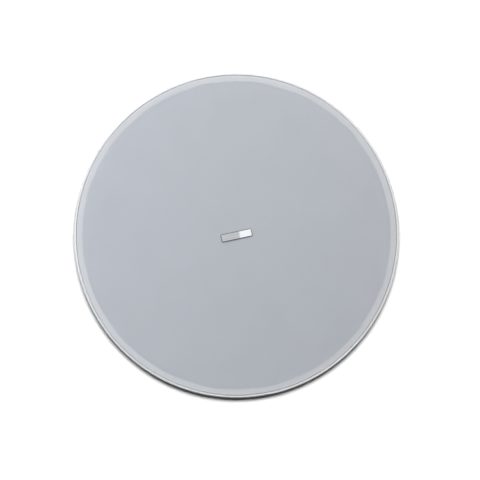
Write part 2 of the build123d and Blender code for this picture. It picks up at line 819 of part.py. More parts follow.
# Terminal block with two slots, each with a wire hole below and a lever on pivots
block_outer_y = board_outer_y - board_edge
pivot_y = block_outer_y - lever_pivot_inset
pivot_z = board_top_z + lever_pivot_height
lever_sides = {"red": -lever_pitch / 2, "black": lever_pitch / 2}
with BuildPart() as terminal_block:
    with Locations((0, block_outer_y, board_top_z)):
        Box(block_length, block_width, block_height, align=(Align.CENTER, Align.MAX, Align.MIN))
    chamfer(terminal_block.edges().group_by(Axis.Z)[-1], block_chamfer)
    for lever_x in lever_sides.values():
        with Locations((lever_x, block_outer_y, board_top_z + slot_floor_height)):
            Box(
                lever_width + 2 * lever_play, lever_pivot_inset + lever_hub_radius + lever_play,
                block_height - slot_floor_height,
                align=(Align.CENTER, Align.MAX, Align.MIN), mode=Mode.SUBTRACT,
            )
        with Locations((lever_x, pivot_y, pivot_z)):
            Cylinder(
                lever_pivot_radius + running_clearance, lever_width + 2 * lever_play + 2 * lever_pivot_reach,
                rotation=(0, 90, 0), mode=Mode.SUBTRACT,
            )
        with Locations((lever_x, block_outer_y - wire_hole_depth / 2, board_top_z + wire_hole_height)):
            Cylinder(wire_hole_radius, wire_hole_depth, rotation=(90, 0, 0), mode=Mode.SUBTRACT)
save(terminal_block.part, "terminal_block")

for colour, lever_x in lever_sides.items():
    with BuildPart() as lever:
        with BuildSketch(Plane.YZ.offset(lever_x - lever_width / 2)):
            with Locations((pivot_y, pivot_z)):
                Circle(lever_hub_radius)
                with Locations((0, lever_hub_radius)):
                    Rectangle(lever_reach, lever_thickness, align=(Align.MIN, Align.MAX))
                with Locations((lever_reach, lever_hub_radius)):
                    Rectangle(lever_lip, lever_lip, align=(Align.MAX, Align.MIN))
        extrude(amount=lever_width)
        with Locations((lever_x, pivot_y, pivot_z)):
            Cylinder(lever_pivot_radius, lever_width + 2 * lever_pivot_reach, rotation=(0, 90, 0))
    save(lever.part, f"terminal_lever_{colour}")

# Clamp screws, each with a cross drive in its head
with BuildPart() as clamp_screw_form:
    Cylinder(
        clamp_screw_head_radius, clamp_screw_head_height, align=(Align.CENTER, Align.CENTER, Align.MAX),
    )
    Cylinder(
        clamp_screw_radius, tower_height + clamp_screw_tail - head_seat_z,
        align=(Align.CENTER, Align.CENTER, Align.MIN),
    )
    with Locations((0, 0, -clamp_screw_head_height)):
        Box(clamp_drive_span, clamp_drive_width, 2 * clamp_drive_depth, mode=Mode.SUBTRACT)
        Box(clamp_drive_width, clamp_drive_span, 2 * clamp_drive_depth, mode=Mode.SUBTRACT)

for number, angle in enumerate(clamp_angles, 1):
    with BuildPart(Plane(origin=polar(screw_circle, angle, head_seat_z))) as clamp_screw:
        add(clamp_screw_form.part)
    save(clamp_screw.part, f"clamp_screw_{number}")

# Clamp, drawn with its screw on the Z axis and its arm along +X
with BuildPart() as clamp_form:
    with BuildSketch():
        Rectangle(clamp_arm_length, clamp_arm_width, align=(Align.MIN, Align.CENTER))
    extrude(amount=clamp_arm_height)
    with Locations((clamp_arm_length, 0, 0)):
        Box(
            clamp_foot_length, clamp_arm_width, clamp_foot_height,
            align=(Align.MAX, Align.CENTER, Align.MAX),
        )
    fillet(clamp_form.edges().filter_by(Axis.Z).group_by(Axis.X)[-1], clamp_tip_round)
    for tooth in range(1, clamp_teeth):
        with Locations((clamp_arm_length - clamp_foot_length * tooth / clamp_teeth, 0, -clamp_foot_height)):
            Box(clamp_tooth_gap, clamp_arm_width, clamp_foot_height, mode=Mode.SUBTRACT)
    Cylinder(clamp_hub_radius, clamp_hub_height, align=(Align.CENTER, Align.CENTER, Align.MIN))
    with BuildSketch(Plane.XZ):
        with BuildLine():
            Polyline(
                (0, clamp_arm_height), (clamp_arm_length - clamp_foot_length, clamp_arm_height),
                (clamp_hub_radius, clamp_hub_height), (0, clamp_hub_height),
                close=True,
            )
        make_face()
    extrude(amount=clamp_gusset / 2, both=True)
    Cylinder(
        clamp_screw_radius + running_clearance, clamp_hub_height,
        align=(Align.CENTER, Align.CENTER, Align.MIN), mode=Mode.SUBTRACT,
    )

# Clamps, tucked into the trough so that the speaker goes through the ceiling hole
for number, angle in enumerate(clamp_angles, 1):
    tucked = Plane(
        origin=polar(screw_circle, angle, clamp_bottom_z), x_dir=polar(1, angle - clamp_swing),
        z_dir=(0, 0, 1),
    )
    with BuildPart(tucked) as clamp:
        add(clamp_form.part)
    save(clamp.part, f"clamp_{number}")
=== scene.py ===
import json
from math import cos, pi, radians, sin, sqrt, tau

import bmesh
import bpy
import numpy as np
from mathutils import Matrix, Vector

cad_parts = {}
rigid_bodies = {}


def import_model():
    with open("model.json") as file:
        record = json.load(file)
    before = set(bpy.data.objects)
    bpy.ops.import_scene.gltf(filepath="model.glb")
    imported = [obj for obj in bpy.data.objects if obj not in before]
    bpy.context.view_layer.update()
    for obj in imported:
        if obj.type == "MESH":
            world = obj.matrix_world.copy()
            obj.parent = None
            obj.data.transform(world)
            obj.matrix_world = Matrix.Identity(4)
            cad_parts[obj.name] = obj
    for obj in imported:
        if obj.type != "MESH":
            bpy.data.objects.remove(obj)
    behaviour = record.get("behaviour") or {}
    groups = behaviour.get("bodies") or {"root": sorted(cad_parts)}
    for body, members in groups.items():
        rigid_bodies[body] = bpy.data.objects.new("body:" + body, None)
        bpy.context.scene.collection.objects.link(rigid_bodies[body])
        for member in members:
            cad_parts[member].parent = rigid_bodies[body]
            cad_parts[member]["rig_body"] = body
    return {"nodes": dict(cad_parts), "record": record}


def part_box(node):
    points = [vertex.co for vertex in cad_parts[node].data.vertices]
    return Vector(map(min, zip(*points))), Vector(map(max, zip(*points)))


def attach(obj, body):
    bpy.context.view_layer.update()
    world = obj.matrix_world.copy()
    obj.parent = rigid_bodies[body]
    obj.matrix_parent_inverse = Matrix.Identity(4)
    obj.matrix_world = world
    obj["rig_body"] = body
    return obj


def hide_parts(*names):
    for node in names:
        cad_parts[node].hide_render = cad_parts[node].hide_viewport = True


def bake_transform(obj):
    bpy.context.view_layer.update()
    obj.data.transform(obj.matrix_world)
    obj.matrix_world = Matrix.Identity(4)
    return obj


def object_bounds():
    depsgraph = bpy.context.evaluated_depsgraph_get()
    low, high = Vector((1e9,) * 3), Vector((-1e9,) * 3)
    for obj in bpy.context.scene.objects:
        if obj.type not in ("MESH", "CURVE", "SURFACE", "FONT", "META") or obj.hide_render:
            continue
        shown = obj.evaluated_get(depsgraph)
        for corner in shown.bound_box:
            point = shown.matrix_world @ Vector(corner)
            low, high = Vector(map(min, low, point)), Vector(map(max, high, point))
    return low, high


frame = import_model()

# In-ceiling loudspeaker, in metres: the grille faces -Z, and +Z goes up into the ceiling
cad_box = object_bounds()
nodes = frame["nodes"]
MM = 0.001
weld_distance = 0.001 * MM

# Photograph: its frame in pixels, the place of the disc's centre, its scale and the turn of the badge
image_px = 480
disc_px = (236.5, 235.4)
metres_per_px = 0.830 * MM
badge_turn = radians(12.3)
lens_mm = 300.0
sensor_mm = 36.0

# Directions of the picture in the model's frame
image_right = Vector((-cos(badge_turn), -sin(badge_turn), 0))
image_up = Vector((-sin(badge_turn), cos(badge_turn), 0))
to_camera = Vector((0, 0, -1))
picture_axes = Matrix((image_right, image_up, to_camera)).transposed().to_4x4()

# Grille sheet
hole_pitch = 1.62 * MM
hole_radius = 0.27 * hole_pitch
hole_corners = 6
field_radius = 128.4 * MM
margin_start = 0.35 * MM
sheet_thickness = 0.8 * MM
bend_radius = 0.9 * MM
bend_steps = 6
paint_build = 0.12 * MM
back_margin_width = 3.4 * MM
rim_segments = 512
flat_normal = 0.999

# Badge: its silver end, how far that fades into the white one, and the width of the bevel painted dark as
# shade
silver_length = 15.0 * MM
silver_fade = 1.5 * MM
badge_bevel = 0.6 * MM

# Capacitor: how far its wires stand out, and its resin ends
wire_reach = 1.9 * MM
resin_depth = 1.2 * MM

# Screws: radius and height of the head, and radius of the shank
small_screw = (2.9 * MM, 2.0 * MM, 1.5 * MM)
clamp_screw = (4.0 * MM, 2.8 * MM, 2.0 * MM)
screw_segments = 24

# Outline of a screw: shares of the shank's radius, then of the head's radius and height
tip_share = 0.55
point_share = 0.8
point_length = 0.4 * MM
neck_length = 0.05 * MM
seat_share = 0.96
seat_height = 0.12 * MM
shoulder_share = 0.45
crown_steps = 14

# Thread of a clamp screw
thread_pitch = 1.4 * MM
thread_depth = 0.32 * MM
thread_rows = 6
thread_start = 0.6 * MM
thread_margin = 1.2 * MM

# Cross recess: its arms, then its reach and depth as shares of the head, and how much it rises outwards
cross_width = 1.0 * MM
cross_taper = 0.35 * MM
cross_reach = 0.62
cross_sink = 0.5
cross_rise = 0.6

# Coil on the board
coil_wire = 0.8 * MM
coil_core_radius = 4.0 * MM
coil_segments = 64
wire_steps = 8

# Lights behind the speaker: bearing in degrees and power of each, and where they stand
back_lights = ((200, 13.5), (320, 5.0), (80, 5.5))
back_light_reach = 1.2
back_light_height = 1.3

# Sky: its strength as a light, before the camera, and in reflections from a low to a high direction
sky_light = 0.10
sky_shown = 0.90
sky_heights = (-0.2, 1.0)
sky_mirrored = (0.2, 0.9)

# Floor, and ceiling round the speaker
floor_height = -4.0
floor_reach = 50.0
ceiling_gap = 0.1 * MM
ceiling_reach = 2.5
ceiling_segments = 256


class Look:
    """A Principled material whose colour, roughness and bump come from patterns in object space."""

    def __init__(self, name, **sockets):
        self.material = bpy.data.materials.new(name)
        self.material.use_nodes = True
        self.tree = self.material.node_tree
        self.shader = self.tree.nodes["Principled BSDF"]
        for socket, value in sockets.items():
            self.shader.inputs[socket.replace("_", " ")].default_value = value
        self.point = self.node("ShaderNodeTexCoord").outputs["Object"]
        self.last_bump = None

    def node(self, kind, inputs=None, **settings):
        made = self.tree.nodes.new(kind)
        for key, value in settings.items():
            setattr(made, key, value)
        for key, value in (inputs or {}).items():
            if isinstance(value, bpy.types.NodeSocket):
                self.tree.links.new(value, made.inputs[key])
            else:
                made.inputs[key].default_value = value
        return made

    def math(self, operation, first, second=0.0, third=0.0):
        made = self.node("ShaderNodeMath", {0: first, 1: second, 2: third}, operation=operation)
        return made.outputs[0]

    def axis(self, name):
        return self.node("ShaderNodeSeparateXYZ", {0: self.point}).outputs[name]

    def radius(self):
        """Distance from the speaker's axis."""
        level = {0: self.point, 1: (1.0, 1.0, 0.0)}
        flat = self.node("ShaderNodeVectorMath", level, operation="MULTIPLY").outputs[0]
        return self.node("ShaderNodeVectorMath", {0: flat}, operation="LENGTH").outputs["Value"]

    def noise(self, scale, detail=3.0, stretch=(1.0, 1.0, 1.0)):
        place = self.node("ShaderNodeMapping", {"Vector": self.point, "Scale": stretch}).outputs[0]
        made = self.node("ShaderNodeTexNoise", {"Vector": place, "Scale": scale, "Detail": detail})
        return made.outputs[0]

    def cells(self, scale):
        made = self.node("ShaderNodeTexVoronoi", {"Vector": self.point, "Scale": scale})
        return made.outputs["Distance"]

    def waves(self, along, pitch):
        """Ripples between -1 and 1."""
        return self.math("SINE", self.math("MULTIPLY", along, tau / pitch))

    def weave(self, pitch):
        """Threads over and under each other, between 0 and 1."""
        across = self.waves(self.axis("X"), pitch)
        along = self.waves(self.axis("Y"), pitch)
        return self.math("MULTIPLY_ADD", self.math("MULTIPLY", across, along), 0.5, 0.5)

    def edges(self, radius):
        """Near 0 on open faces, and 1 or more along sharp edges."""
        gain = 4.0
        soft = self.node("ShaderNodeBevel", {"Radius": radius}, samples=4).outputs[0]
        hard = self.node("ShaderNodeNewGeometry").outputs["Normal"]
        both = self.node("ShaderNodeVectorMath", {0: soft, 1: hard}, operation="DOT_PRODUCT")
        return self.math("MULTIPLY", self.math("SUBTRACT", 1.0, both.outputs["Value"]), gain)

    def span(self, value, low, high, start=0.3, end=0.7):
        """Runs from low to high as the value goes from start to end, and stays there beyond."""
        limits = {"From Min": start, "From Max": end, "To Min": low, "To Max": high}
        return self.node("ShaderNodeMapRange", {"Value": value, **limits}).outputs[0]

    def blend(self, share, first, second):
        """Colour between two others, each a socket or three numbers."""
        made = self.node("ShaderNodeMix", data_type="RGBA")
        for key, value in (("Factor_Float", share), ("A_Color", first), ("B_Color", second)):
            socket = next(s for s in made.inputs if s.identifier == key)
            if isinstance(value, bpy.types.NodeSocket):
                self.tree.links.new(value, socket)
            else:
                socket.default_value = (*value, 1.0)
        return next(s for s in made.outputs if s.identifier == "Result_Color")

    def clouds(self, dark, light, scale, detail=3.0):
        """Soft patches of two tones."""
        return self.blend(self.span(self.noise(scale, detail), 0.0, 1.0), dark, light)

    def colour(self, value):
        self.feed("Base Color", value)

    def roughness(self, limits, scale, detail=3.0):
        self.feed("Roughness", self.span(self.noise(scale, detail), *limits))

    def feed(self, socket, value):
        self.tree.links.new(value, self.shader.inputs[socket])

    def bump(self, height, depth, strength):
        """Adds relief on top of what the look already has."""
        inputs = {"Height": height, "Distance": depth, "Strength": strength}
        if self.last_bump:
            inputs["Normal"] = self.last_bump
        self.last_bump = self.node("ShaderNodeBump", inputs).outputs[0]
        self.feed("Normal", self.last_bump)


def moulded(name, dark, light, rough=(0.38, 0.52), grain=0.03 * MM, wear_and_highlight=0.0, **sockets):
    """Moulded plastic or rubber: faint flow clouds, a fine eroded texture and paler edges, partly wear and
    partly painted highlight.
    """
    look = Look(name, **sockets)
    base = look.clouds(dark, light, scale=22.0, detail=4.0)
    if wear_and_highlight:
        # Paler along sharp edges: partly wear, partly a painted highlight
        pale = [1.0 - (1.0 - c) * (1.0 - wear_and_highlight) for c in light]
        rubbed_and_highlit = look.span(look.edges(radius=0.5 * MM), 0.0, 1.0, start=0.1, end=0.9)
        base = look.blend(rubbed_and_highlit, base, pale)
    look.colour(base)
    look.roughness(rough, scale=160.0)
    look.bump(look.noise(scale=2600.0, detail=2.0), depth=grain, strength=0.5)
    return look.material


def painted(name, dark, light, rough, wear_and_highlight):
    """Paint on steel: orange peel, faint clouds and edges paler in patches, partly rubbed paint and partly
    painted highlight.
    """
    look = Look(name)
    base = look.clouds(dark, light, scale=30.0)
    # Paler edges in patches: partly rubbed paint, partly a painted highlight
    patches = look.span(look.noise(scale=240.0), 0.0, 1.2, start=0.4, end=0.7)
    rubbed_and_highlit = look.math("MULTIPLY", look.edges(radius=0.4 * MM), patches)
    look.colour(look.blend(look.span(rubbed_and_highlit, 0.0, 1.0, start=0.15, end=0.9), base, wear_and_highlight))
    look.roughness(rough, scale=420.0)
    look.bump(look.noise(scale=1500.0, detail=2.0), depth=0.05 * MM, strength=0.35)
    return look.material


def turned(name, dark, light):
    """Plated, turned steel: fine concentric tool marks and clouded plating."""
    look = Look(name, Metallic=1.0)
    look.colour(look.clouds(dark, light, scale=25.0))
    look.roughness((0.28, 0.36), scale=90.0, detail=4.0)
    look.bump(look.waves(look.radius(), pitch=0.6 * MM), depth=0.008 * MM, strength=0.4)
    look.bump(look.noise(scale=2400.0), depth=0.006 * MM, strength=0.3)
    return look.material


def plated(name, dark, light):
    """Small plated or metal foil pieces: bright, with dull patches."""
    look = Look(name, Metallic=1.0)
    look.colour(look.clouds(dark, light, scale=380.0, detail=4.0))
    look.roughness((0.2, 0.38), scale=700.0)
    look.bump(look.noise(scale=2400.0), depth=0.02 * MM, strength=0.3)
    return look.material


def grille_look():
    """Powder coat of the grille, a shade bluer in the perforated field than on the plain margin."""
    look = Look("grille_paint")
    field = look.clouds((0.564, 0.582, 0.610), (0.584, 0.602, 0.630), scale=30.0)
    margin = look.clouds((0.568, 0.574, 0.588), (0.588, 0.594, 0.608), scale=30.0)
    beyond = look.span(look.radius(), 0.0, 1.0, start=field_radius, end=field_radius + margin_start)
    look.colour(look.blend(beyond, field, margin))
    look.roughness((0.42, 0.52), scale=420.0)
    look.bump(look.noise(scale=1500.0, detail=2.0), depth=0.05 * MM, strength=0.35)
    return look.material


def cloth(name, dark, light, pitch, rough=(0.75, 0.95), depth=0.08 * MM):
    """Woven cloth: threads over and under each other, with uneven dye."""
    look = Look(name)
    threads = look.weave(pitch)
    half_threads = look.math("MULTIPLY", threads, 0.5)
    dye = look.math("MULTIPLY_ADD", look.noise(scale=90.0, detail=4.0), 0.5, half_threads)
    look.colour(look.blend(look.span(dye, 0.0, 1.0, start=0.25, end=0.75), dark, light))
    look.roughness(rough, scale=500.0)
    look.bump(threads, depth, strength=0.6)
    return look.material


def speckled(name, dark, light, scale, rough, depth=0.04 * MM, wear_and_highlight=None):
    """Foamed, sintered or mineral-filled surface: fine grains of two tones and, in patches, paler chipped
    edges, partly wear and partly painted highlight.
    """
    look = Look(name)
    grains = look.span(look.cells(scale), 1.0, 0.0, start=0.1, end=0.6)
    base = look.blend(look.math("MULTIPLY", grains, look.noise(scale=70.0)), dark, light)
    if wear_and_highlight:
        # Paler chipped edges: partly wear, partly a painted highlight
        patches = look.span(look.noise(scale=300.0, detail=4.0), 0.0, 1.5, start=0.45, end=0.7)
        chips_and_highlights = look.math("MULTIPLY", look.edges(radius=0.8 * MM), patches)
        base = look.blend(look.span(chips_and_highlights, 0.0, 1.0, start=0.2, end=0.9), base, wear_and_highlight)
    look.colour(base)
    look.roughness(rough, scale=240.0, detail=4.0)
    look.bump(look.noise(scale), depth, strength=0.5)
    return look.material


def wound(name, dark, light, pitch):
    """Enamelled wire: glossy, each turn a shade apart."""
    look = Look(name, Metallic=1.0, Coat_Weight=0.6, Coat_Roughness=0.12)
    turns = look.waves(look.axis("Z"), pitch)
    shade = look.math("MULTIPLY_ADD", turns, 0.25, look.noise(scale=260.0))
    look.colour(look.blend(look.span(shade, 0.0, 1.0, start=0.25, end=0.8), dark, light))
    look.roughness((0.25, 0.4), scale=500.0)
    look.bump(turns, depth=0.06 * MM, strength=0.5)
    return look.material


def badge_look():
    """Bare badge: brushed silver end, white enamel end and a bevel all round painted dark as shade."""
    look = Look("badge_two_tone", Coat_Weight=0.4, Coat_Roughness=0.15)
    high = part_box("grille_badge")[1]
    silver_end = high.x - silver_length
    silver = look.span(look.axis("X"), 0.0, 1.0, start=silver_end - silver_fade, end=silver_end)
    brushing = look.noise(scale=900.0, detail=4.0, stretch=(0.04, 1.0, 1.0))
    metal = look.blend(look.span(brushing, 0.0, 1.0), (0.56, 0.57, 0.58), (0.66, 0.67, 0.68))
    enamel = look.blend(look.noise(scale=120.0), (0.93, 0.93, 0.93), (0.97, 0.97, 0.97))
    along = look.math("ABSOLUTE", look.axis("X"))
    across = look.math("ABSOLUTE", look.axis("Y"))
    # The bevel round the raised plate is painted near black as shade, not a colour of its own
    ends = look.math("GREATER_THAN", along, high.x - badge_bevel)
    sides = look.math("GREATER_THAN", across, high.y - badge_bevel)
    bevel = look.math("MAXIMUM", ends, sides)
    painted_bevel_shade = look.blend(look.noise(scale=500.0), (0.05, 0.052, 0.056), (0.08, 0.083, 0.09))
    look.colour(look.blend(bevel, look.blend(silver, enamel, metal), painted_bevel_shade))
    face = look.math("SUBTRACT", 1.0, bevel)
    look.feed("Metallic", look.math("MULTIPLY", look.math("MULTIPLY", silver, 0.45), face))
    look.feed("Roughness", look.span(brushing, 0.32, 0.46))
    look.bump(brushing, depth=0.015 * MM, strength=0.3)
    return look.material


def board_look():
    """Solder mask over glass cloth, a shade paler over the copper below it."""
    look = Look("board_mask", Coat_Weight=0.5, Coat_Roughness=0.2)
    fibres = look.weave(pitch=0.7 * MM)
    copper = look.span(look.noise(scale=60.0, detail=1.0), 0.0, 1.0, start=0.5, end=0.53)
    mask = look.blend(copper, (0.012, 0.10, 0.035), (0.025, 0.17, 0.06))
    look.colour(look.blend(look.math("MULTIPLY", fibres, 0.2), mask, (0.05, 0.22, 0.10)))
    look.roughness((0.32, 0.46), scale=300.0)
    look.bump(copper, depth=0.04 * MM, strength=0.6)
    look.bump(fibres, depth=0.01 * MM, strength=0.3)
    return look.material


def capacitor_look():
    """Film capacitor: wrapped body with resin ends and tinned wires."""
    look = Look("capacitor_wrap", Coat_Weight=0.3, Coat_Roughness=0.25)
    low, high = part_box("capacitor")
    from_middle = look.math("ABSOLUTE", look.math("SUBTRACT", look.axis("X"), (low.x + high.x) / 2))
    half = (high.x - low.x) / 2 - wire_reach
    wire = look.math("GREATER_THAN", from_middle, half)
    resin = look.math("GREATER_THAN", from_middle, half - resin_depth)
    streaks = look.noise(scale=40.0, detail=4.0, stretch=(0.2, 1.0, 1.0))
    film = look.blend(streaks, (0.50, 0.30, 0.05), (0.64, 0.42, 0.10))
    body = look.blend(resin, film, (0.42, 0.24, 0.07))
    look.colour(look.blend(wire, body, (0.72, 0.72, 0.70)))
    look.feed("Metallic", wire)
    look.roughness((0.28, 0.42), scale=200.0)
    look.bump(look.noise(scale=500.0), depth=0.05 * MM, strength=0.3)
    return look.material


def make_looks():
    """One finish for each material slot of the record."""
    return {
        "frame_white": moulded("frame_white", (0.80, 0.80, 0.795), (0.84, 0.84, 0.835), wear_and_highlight=0.25),
        "grille_paint": grille_look(),
        "scrim": cloth(
            "scrim_cloth", (0.47, 0.51, 0.575), (0.565, 0.61, 0.69), pitch=0.5 * MM, depth=0.05 * MM,
        ),
        "badge": badge_look(),
        "plated": plated("magnet_plating", (0.58, 0.58, 0.59), (0.72, 0.72, 0.72)),
        "zinc": turned("zinc_plating", (0.60, 0.60, 0.59), (0.66, 0.66, 0.64)),
        "black_steel": painted(
            "basket_paint", (0.018, 0.018, 0.020), (0.028, 0.028, 0.030), rough=(0.34, 0.48),
            wear_and_highlight=(0.10, 0.10, 0.10),
        ),
        "foam": speckled(
            "foam_gasket", (0.022, 0.022, 0.022), (0.06, 0.06, 0.06), scale=1800.0, rough=(0.85, 0.98),
            depth=0.2 * MM,
        ),
        "surround_rubber": moulded(
            "surround_rubber", (0.020, 0.020, 0.022), (0.034, 0.034, 0.036), rough=(0.5, 0.68),
            Sheen_Weight=0.15,
        ),
        "cone_poly": speckled(
            "cone_mineral", (0.035, 0.036, 0.040), (0.13, 0.13, 0.14), scale=2200.0, rough=(0.36, 0.5),
        ),
        "former_alu": plated("former_foil", (0.66, 0.66, 0.67), (0.80, 0.80, 0.81)),
        "copper": wound("enamelled_copper", (0.55, 0.20, 0.07), (0.80, 0.38, 0.17), pitch=coil_wire),
        "spider_cloth": cloth(
            "spider_cloth", (0.42, 0.28, 0.11), (0.68, 0.50, 0.24), pitch=0.9 * MM, depth=0.12 * MM,
        ),
        "ferrite": speckled(
            "sintered_ferrite", (0.045, 0.045, 0.048), (0.11, 0.11, 0.115), scale=1500.0, rough=(0.5, 0.72),
            wear_and_highlight=(0.20, 0.20, 0.205),
        ),
        "phenolic": moulded("paper_laminate", (0.17, 0.075, 0.03), (0.25, 0.12, 0.05), rough=(0.4, 0.6)),
        "tags": plated("tinned_tags", (0.62, 0.58, 0.46), (0.78, 0.74, 0.62)),
        "lead_red": moulded("lead_red", (0.42, 0.015, 0.015), (0.52, 0.025, 0.02), rough=(0.36, 0.5)),
        "lead_black": moulded("lead_black", (0.014, 0.014, 0.014), (0.022, 0.022, 0.022), rough=(0.36, 0.5)),
        "black_plastic": moulded(
            "black_moulding", (0.020, 0.020, 0.022), (0.030, 0.030, 0.032), grain=0.05 * MM, wear_and_highlight=0.06,
        ),
        "dome_silk": cloth(
            "dome_silk", (0.02, 0.02, 0.024), (0.05, 0.05, 0.058), pitch=0.35 * MM, rough=(0.45, 0.6),
        ),
        "board": board_look(),
        "capacitor": capacitor_look(),
        "cement": speckled(
            "cement_body", (0.60, 0.59, 0.55), (0.78, 0.77, 0.73), scale=1600.0, rough=(0.8, 0.95),
            depth=0.1 * MM,
        ),
        "lever_red": moulded(
            "lever_red", (0.50, 0.012, 0.012), (0.58, 0.02, 0.02), rough=(0.25, 0.36), Coat_Weight=0.3,
        ),
        "lever_black": moulded(
            "lever_black", (0.016, 0.016, 0.017), (0.024, 0.024, 0.025), rough=(0.25, 0.36), Coat_Weight=0.3,
        ),
        "clamp_nylon": moulded(
            "clamp_nylon", (0.026, 0.026, 0.028), (0.045, 0.045, 0.048), rough=(0.45, 0.62),
            grain=0.08 * MM, wear_and_highlight=0.08,
        ),
    }


def slot_of(node):
    return next(p["material_slot"] for p in frame["record"]["subparts"] if p["node"] == node)


def body_of(node):
    return nodes[node]["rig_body"]


def dress(piece, slot):
    piece.data.materials.clear()
    piece.data.materials.append(looks[slot])


def add_piece(name, mesh, node, body):
    """Adds a mesh that stands for a CAD node and takes over its finish and, where one is given, its body."""
    piece = bpy.data.objects.new(name, mesh)
    bpy.context.scene.collection.objects.link(piece)
    dress(piece, slot_of(node))
    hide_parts(node)
    if body:
        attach(piece, body)
    return piece


def mesh_of(name, points, faces, smooth=True):
    mesh = bpy.data.meshes.new(name)
    mesh.from_pydata([tuple(p) for p in points], [], [tuple(f) for f in faces])
    mesh.polygons.foreach_set("use_smooth", [smooth] * len(mesh.polygons))
    mesh.update()
    return mesh


def weld(mesh):
    """Joins the points that lie in one place, such as those of a ring that closes to a tip."""
    work = bmesh.new()
    work.from_mesh(mesh)
    bmesh.ops.remove_doubles(work, verts=work.verts, dist=weld_distance)
    work.to_mesh(mesh)
    work.free()
    return mesh


def round_points(section, count, centre=(0.0, 0.0)):
    """Points of a section, given as radius and height, turned about an upright axis."""
    turns = [tau * k / count for k in range(count)]
    return [(centre[0] + r * cos(t), centre[1] + r * sin(t), z) for r, z in section for t in turns]


def ring_faces(rows, count, closed=False):
    """Quads between rows of points that run round an axis, each row with the same count."""
    faces = []
    for row in range(rows if closed else rows - 1):
        here, there = row * count, (row + 1) % rows * count
        for k in range(count):
            after = (k + 1) % count
            faces.append((here + k, here + after, there + after, there + k))
    return faces


def hole_lattice(limit):
    """Holes of a hexagonal lattice that lie inside a circle: number and centre of each, by lattice place."""
    reach = int(limit / hole_pitch * 2 / sqrt(3)) + 1
    cells = {}
    for j in range(-reach, reach + 1):
        for i in range(-reach, reach + 1):
            x, y = (i + j / 2) * hole_pitch, j * hole_pitch * sqrt(3) / 2
            if x * x + y * y <= (limit - hole_radius) ** 2:
                cells[(i, j)] = (len(cells), x, y)
    return cells


def hole_corner(number, k):
    """Place of a hole's corner in the list of points."""
    return number * hole_corners + k % hole_corners


def hole_field(front):
    """Corners of the hexagonal holes, the faces between them and the edges left open round the field."""
    corner_radius = hole_radius * sqrt(pi / (1.5 * sqrt(3)))
    neighbours = ((1, 0), (0, 1), (-1, 1), (-1, 0), (0, -1), (1, -1))
    cells = hole_lattice(field_radius)
    points, faces, open_edges = [], [], []
    for _, x, y in cells.values():
        for k in range(hole_corners):
            angle = radians(60 * k + 30)
            points.append((x + corner_radius * cos(angle), y + corner_radius * sin(angle), front))
    for (i, j), (number, _, _) in cells.items():
        near = [cells.get((i + a, j + b), (None,))[0] for a, b in neighbours]
        for k in range(hole_corners):
            start, end = hole_corner(number, k - 1), hole_corner(number, k)
            other, after = near[k], near[(k + 1) % hole_corners]
            if other is None:
                open_edges.append((start, end))
                continue
            far_end, far_start = hole_corner(other, k + 2), hole_corner(other, k + 3)
            # Two holes share a strip and three share a triangle, so each is made from one of them only
            if k < hole_corners / 2:
                faces.append((end, far_end, far_start, start))
            if after is None:
                open_edges.append((end, far_end))
            elif k < hole_corners / 3:
                faces.append((hole_corner(after, k + 4), far_end, end))
    return points, faces, open_edges


def rim_section(front, floor, outer):
    """Section of the plain margin, the bend and the rim, out along the front and back along the inside."""
    arc = [radians(90 * s / bend_steps) for s in range(bend_steps + 1)]
    inner_bend = bend_radius - sheet_thickness
    bend_out, bend_up = outer - bend_radius, front + bend_radius
    section = [(field_radius + margin_start, front)]
    section += [(outer - bend_radius * (1 - sin(a)), front + bend_radius * (1 - cos(a))) for a in arc]
    section += [(outer, floor), (outer - sheet_thickness, floor)]
    section += [(bend_out + inner_bend * sin(a), bend_up - inner_bend * cos(a)) for a in reversed(arc)]
    section.append((bend_out - back_margin_width, front + sheet_thickness))
    return section


def perforated_sheet(name):
    """Front skin with hexagonal holes, a plain margin, a bend and a rim turned back."""
    low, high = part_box("grille")
    points, faces, open_edges = hole_field(low.z)
    section = rim_section(low.z, high.z, high.x + paint_build)
    ring_start = len(points)
    points += round_points(section, rim_segments)
    faces += [tuple(ring_start + k for k in f) for f in ring_faces(len(section), rim_segments)]
    open_edges += [(ring_start + k, ring_start + (k + 1) % rim_segments) for k in range(rim_segments)]
    mesh = mesh_of(name, points, faces, smooth=False)
    work = bmesh.new()
    work.from_mesh(mesh)
    work.verts.ensure_lookup_table()
    border = []
    for a, b in open_edges:
        pair = (work.verts[a], work.verts[b])
        border.append(work.edges.get(pair) or work.edges.new(pair))
    bmesh.ops.triangle_fill(work, use_beauty=True, use_dissolve=False, edges=border, normal=(0, 0, -1))
    for face in work.faces:
        face.smooth = abs(face.normal.z) < flat_normal
    work.to_mesh(mesh)
    work.free()
    return mesh


def cross_depth(u, v, span, depth):
    """Depth of a cross recess at a point of the head."""
    arm = min(max(abs(u), abs(v)), span) / span
    width = cross_width / 2 - min(abs(u), abs(v))
    inside = min(max(width / cross_taper + 0.5, 0.0), 1.0) if arm < 1.0 else 0.0
    return depth * inside * (1.0 - cross_rise * arm)


def screw_rows(head_radius, head_height, shank_radius, length, threaded):
    """Rows of radius, height and thread share from the shank's tip to the head's crown, the seat at 0."""
    rows = [(0.0, -length, 0.0), (shank_radius * tip_share, -length, 0.0)]
    rows.append((shank_radius * point_share, -length + point_length, 0.0))
    if threaded:
        step = thread_pitch / thread_rows
        count = int((length - thread_margin) / step)
        rows += [(shank_radius, -length + thread_start + step * k, 1.0) for k in range(count)]
    rows += [(shank_radius, -neck_length, 0.0), (head_radius * seat_share, 0.0, 0.0)]
    shoulder = head_height * shoulder_share
    rows += [(head_radius, seat_height, 0.0), (head_radius, shoulder, 0.0)]
    for k in range(1, crown_steps + 1):
        share = k / crown_steps
        rise = (head_height - shoulder) * sqrt(1 - (1 - share) ** 2)
        rows.append((head_radius * (1 - share), shoulder + rise, 0.0))
    return rows


